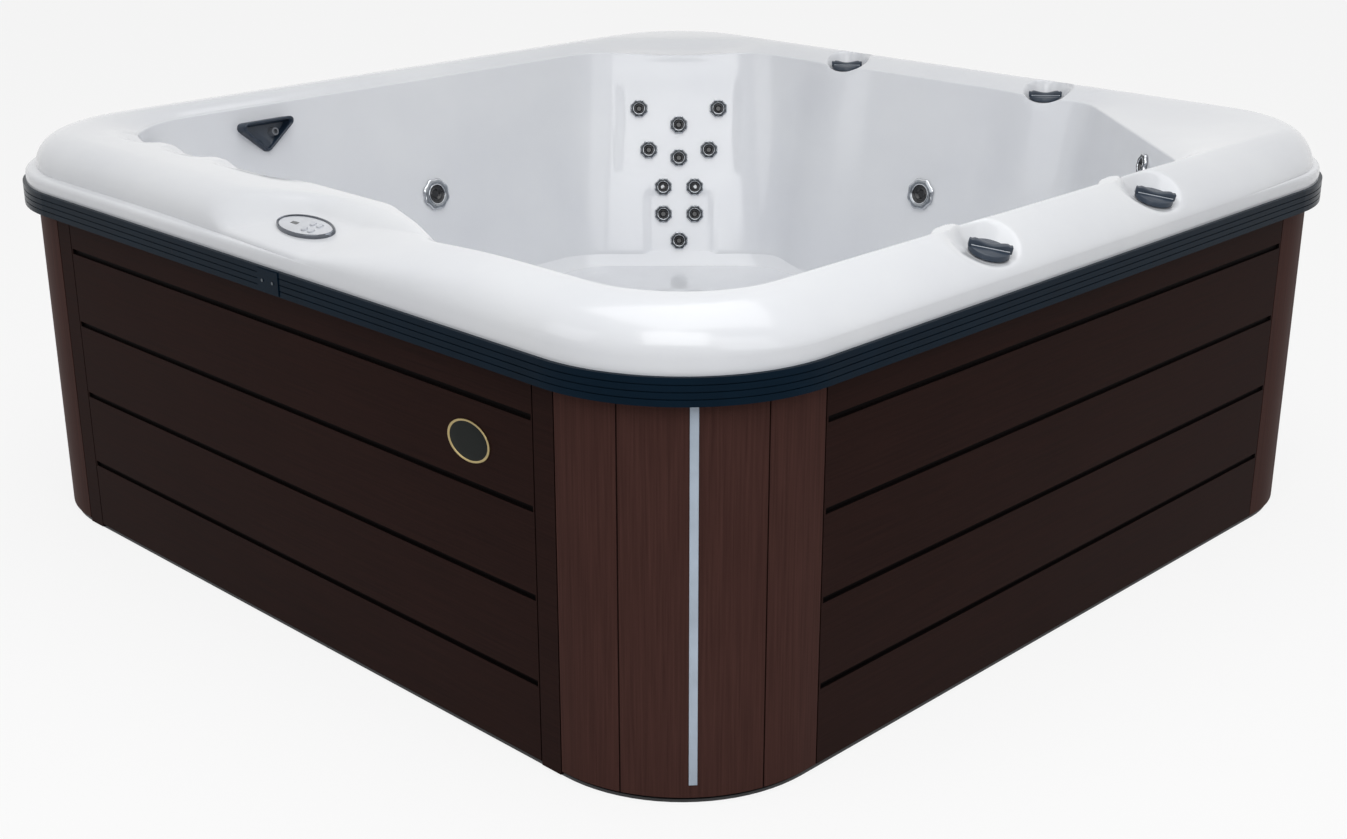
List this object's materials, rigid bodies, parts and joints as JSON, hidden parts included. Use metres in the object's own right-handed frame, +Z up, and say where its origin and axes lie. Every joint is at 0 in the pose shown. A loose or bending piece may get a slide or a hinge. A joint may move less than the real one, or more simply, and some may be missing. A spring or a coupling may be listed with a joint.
{
  "type": "hot tub",
  "caption": "Square free-standing hot tub with a moulded white shell, rolled rim, reclined walls with scalloped jets, rim valves, control panel and grooved brown skirt.",
  "frame": {"origin": "centre of the underside of the base tray, on the floor", "axes": "+Z up; -Y is the front with the control panel and the access panel; +X is the right side"},
  "size_m": [2.34, 2.3436, 0.914],
  "materials": {
    "acrylic": "polished white acrylic",
    "skirt_brown": "satin dark brown panel",
    "trim_dark": "satin dark blue-black trim",
    "strip_pale": "pale light diffuser",
    "bright_metal": "polished",
    "knob_dark": "dark slate plastic",
    "control_pale": "pale grey panel face",
    "display_dark": "dark display window",
    "button_grey": "soft grey keys",
    "fitting_grey": "pale grey moulding",
    "filter_media": "pleated white media",
    "lens_clear": "clear lens",
    "tray_black": "black moulded tray",
    "timber": "sawn softwood",
    "motor_paint": "satin paint",
    "pump_black": "black moulding",
    "steel": "brushed",
    "pipe_white": "white pipe"
  },
  "bodies": {
    "tub": {"shell": "acrylic", "base_tray": "tray_black", "frame_rails": "timber", "frame_posts": "timber", "front_panel": "skirt_brown", "right_panel": "skirt_brown", "back_panel": "skirt_brown", "left_panel": "skirt_brown", "corner_light_strips": "strip_pale", "edge_trim": "trim_dark", "trim_clip": "trim_dark", "trim_screws": "steel", "small_jet_bodies": "fitting_grey", "large_jet_bodies": "fitting_grey", "valve_bodies": "fitting_grey", "control_housing": "control_pale", "control_bezel": "bright_metal", "control_display": "display_dark", "spout_hood": "knob_dark", "spout_nozzle": "fitting_grey", "filter_case": "fitting_grey", "filter_front": "fitting_grey", "filter_cartridge": "filter_media", "suction_covers": "fitting_grey", "footwell_light": "lens_clear", "drain_cover": "fitting_grey", "pump_motor": "motor_paint", "pump_wet_end": "pump_black", "heater": "steel", "equipment_box": "pump_black", "plumbing_pipes": "pipe_white", "corner_panel_front_right": "skirt_brown", "corner_panel_back_right": "skirt_brown", "corner_panel_back_left": "skirt_brown", "corner_panel_front_left": "skirt_brown"},
    "jet_top_left": {"jet_top_left": "bright_metal"},
    "jet_top_right": {"jet_top_right": "bright_metal"},
    "jet_upper_middle": {"jet_upper_middle": "bright_metal"},
    "jet_shoulder_left": {"jet_shoulder_left": "bright_metal"},
    "jet_shoulder_right": {"jet_shoulder_right": "bright_metal"},
    "jet_middle": {"jet_middle": "bright_metal"},
    "jet_waist_left": {"jet_waist_left": "bright_metal"},
    "jet_waist_right": {"jet_waist_right": "bright_metal"},
    "jet_lower_left": {"jet_lower_left": "bright_metal"},
    "jet_lower_right": {"jet_lower_right": "bright_metal"},
    "jet_bottom": {"jet_bottom": "bright_metal"},
    "jet_right_corner": {"jet_right_corner": "bright_metal"},
    "jet_mini": {"jet_mini": "bright_metal"},
    "jet_large_left": {"jet_large_left": "bright_metal"},
    "jet_large_back": {"jet_large_back": "bright_metal"},
    "valve_knob_right_front": {"valve_knob_right_front": "knob_dark"},
    "valve_knob_right_back": {"valve_knob_right_back": "knob_dark"},
    "valve_knob_back_right": {"valve_knob_back_right": "knob_dark"},
    "valve_knob_back_left": {"valve_knob_back_left": "knob_dark"},
    "button_upper_1": {"button_upper_1": "button_grey"},
    "button_lower_1": {"button_lower_1": "button_grey"},
    "button_upper_2": {"button_upper_2": "button_grey"},
    "button_lower_2": {"button_lower_2": "button_grey"},
    "weir_flap": {"weir_flap": "fitting_grey"}
  },
  "joints": [
    {"name": "jet_top_left_turn", "type": "hinge", "parent": "tub", "child": "jet_top_left", "pos_m": [-0.85513, 0.72785, 0.73191], "axis": [0.6751, -0.6751, 0.2974], "range_deg": [-90, 90]},
    {"name": "jet_top_right_turn", "type": "hinge", "parent": "tub", "child": "jet_top_right", "pos_m": [-0.69108, 0.8919, 0.73191], "axis": [0.6751, -0.6751, 0.2974], "range_deg": [-90, 90]},
    {"name": "jet_upper_middle_turn", "type": "hinge", "parent": "tub", "child": "jet_upper_middle", "pos_m": [-0.76322, 0.79999, 0.68703], "axis": [0.6751, -0.6751, 0.2974], "range_deg": [-90, 90]},
    {"name": "jet_shoulder_left_turn", "type": "hinge", "parent": "tub", "child": "jet_shoulder_left", "pos_m": [-0.8101, 0.72241, 0.61734], "axis": [0.6751, -0.6751, 0.2974], "range_deg": [-90, 90]},
    {"name": "jet_shoulder_right_turn", "type": "hinge", "parent": "tub", "child": "jet_shoulder_right", "pos_m": [-0.68564, 0.84686, 0.61734], "axis": [0.6751, -0.6751, 0.2974], "range_deg": [-90, 90]},
    {"name": "jet_middle_turn", "type": "hinge", "parent": "tub", "child": "jet_middle", "pos_m": [-0.74303, 0.7798, 0.59538], "axis": [0.6751, -0.6751, 0.2974], "range_deg": [-90, 90]},
    {"name": "jet_waist_left_turn", "type": "hinge", "parent": "tub", "child": "jet_waist_left", "pos_m": [-0.75768, 0.7294, 0.51422], "axis": [0.6751, -0.6751, 0.2974], "range_deg": [-90, 90]},
    {"name": "jet_waist_right_turn", "type": "hinge", "parent": "tub", "child": "jet_waist_right", "pos_m": [-0.69263, 0.79445, 0.51422], "axis": [0.6751, -0.6751, 0.2974], "range_deg": [-90, 90]},
    {"name": "jet_lower_left_turn", "type": "hinge", "parent": "tub", "child": "jet_lower_left", "pos_m": [-0.74107, 0.71278, 0.4388], "axis": [0.6751, -0.6751, 0.2974], "range_deg": [-90, 90]},
    {"name": "jet_lower_right_turn", "type": "hinge", "parent": "tub", "child": "jet_lower_right", "pos_m": [-0.67601, 0.77784, 0.4388], "axis": [0.6751, -0.6751, 0.2974], "range_deg": [-90, 90]},
    {"name": "jet_bottom_turn", "type": "hinge", "parent": "tub", "child": "jet_bottom", "pos_m": [-0.69213, 0.7289, 0.36433], "axis": [0.6751, -0.6751, 0.2974], "range_deg": [-90, 90]},
    {"name": "jet_right_corner_turn", "type": "hinge", "parent": "tub", "child": "jet_right_corner", "pos_m": [0.843, 0.68015, 0.83685], "axis": [-0.6433, -0.7401, 0.1961], "range_deg": [-90, 90]},
    {"name": "jet_mini_turn", "type": "hinge", "parent": "tub", "child": "jet_mini", "pos_m": [0.923, 0.61061, 0.83685], "axis": [-0.6433, -0.7401, 0.1961], "range_deg": [-90, 90]},
    {"name": "jet_large_left_turn", "type": "hinge", "parent": "tub", "child": "jet_large_left", "pos_m": [-0.92917, 0.019, 0.58583], "axis": [0.9806, 0, 0.1961], "range_deg": [-90, 90]},
    {"name": "jet_large_back_turn", "type": "hinge", "parent": "tub", "child": "jet_large_back", "pos_m": [0.019, 0.94417, 0.58583], "axis": [0, -0.9806, 0.1961], "range_deg": [-90, 90]},
    {"name": "valve_knob_right_front_turn", "type": "hinge", "parent": "tub", "child": "valve_knob_right_front", "pos_m": [1.098, -0.29002, 0.864], "axis": [0.2588, 0, 0.9659], "range_deg": [-90, 90]},
    {"name": "valve_knob_right_back_turn", "type": "hinge", "parent": "tub", "child": "valve_knob_right_back", "pos_m": [1.098, 0.29002, 0.864], "axis": [0.2588, 0, 0.9659], "range_deg": [-90, 90]},
    {"name": "valve_knob_back_right_turn", "type": "hinge", "parent": "tub", "child": "valve_knob_back_right", "pos_m": [0.33197, 1.038, 0.87], "axis": [0, 0, 1], "range_deg": [-90, 90]},
    {"name": "valve_knob_back_left_turn", "type": "hinge", "parent": "tub", "child": "valve_knob_back_left", "pos_m": [-0.33197, 1.038, 0.87], "axis": [0, 0, 1], "range_deg": [-90, 90]},
    {"name": "button_upper_1_press", "type": "slide", "parent": "tub", "child": "button_upper_1", "axis": [0, 0.2588, -0.9659], "range_m": [0, 0.0008], "stiffness_N_per_m": 400},
    {"name": "button_lower_1_press", "type": "slide", "parent": "tub", "child": "button_lower_1", "axis": [0, 0.2588, -0.9659], "range_m": [0, 0.0008], "stiffness_N_per_m": 400},
    {"name": "button_upper_2_press", "type": "slide", "parent": "tub", "child": "button_upper_2", "axis": [0, 0.2588, -0.9659], "range_m": [0, 0.0008], "stiffness_N_per_m": 400},
    {"name": "button_lower_2_press", "type": "slide", "parent": "tub", "child": "button_lower_2", "axis": [0, 0.2588, -0.9659], "range_m": [0, 0.0008], "stiffness_N_per_m": 400},
    {"name": "weir_swing", "type": "hinge", "parent": "tub", "child": "weir_flap", "pos_m": [-0.445, -0.919, 0.772], "axis": [1, 0, 0], "range_deg": [0, 60]}
  ]
}
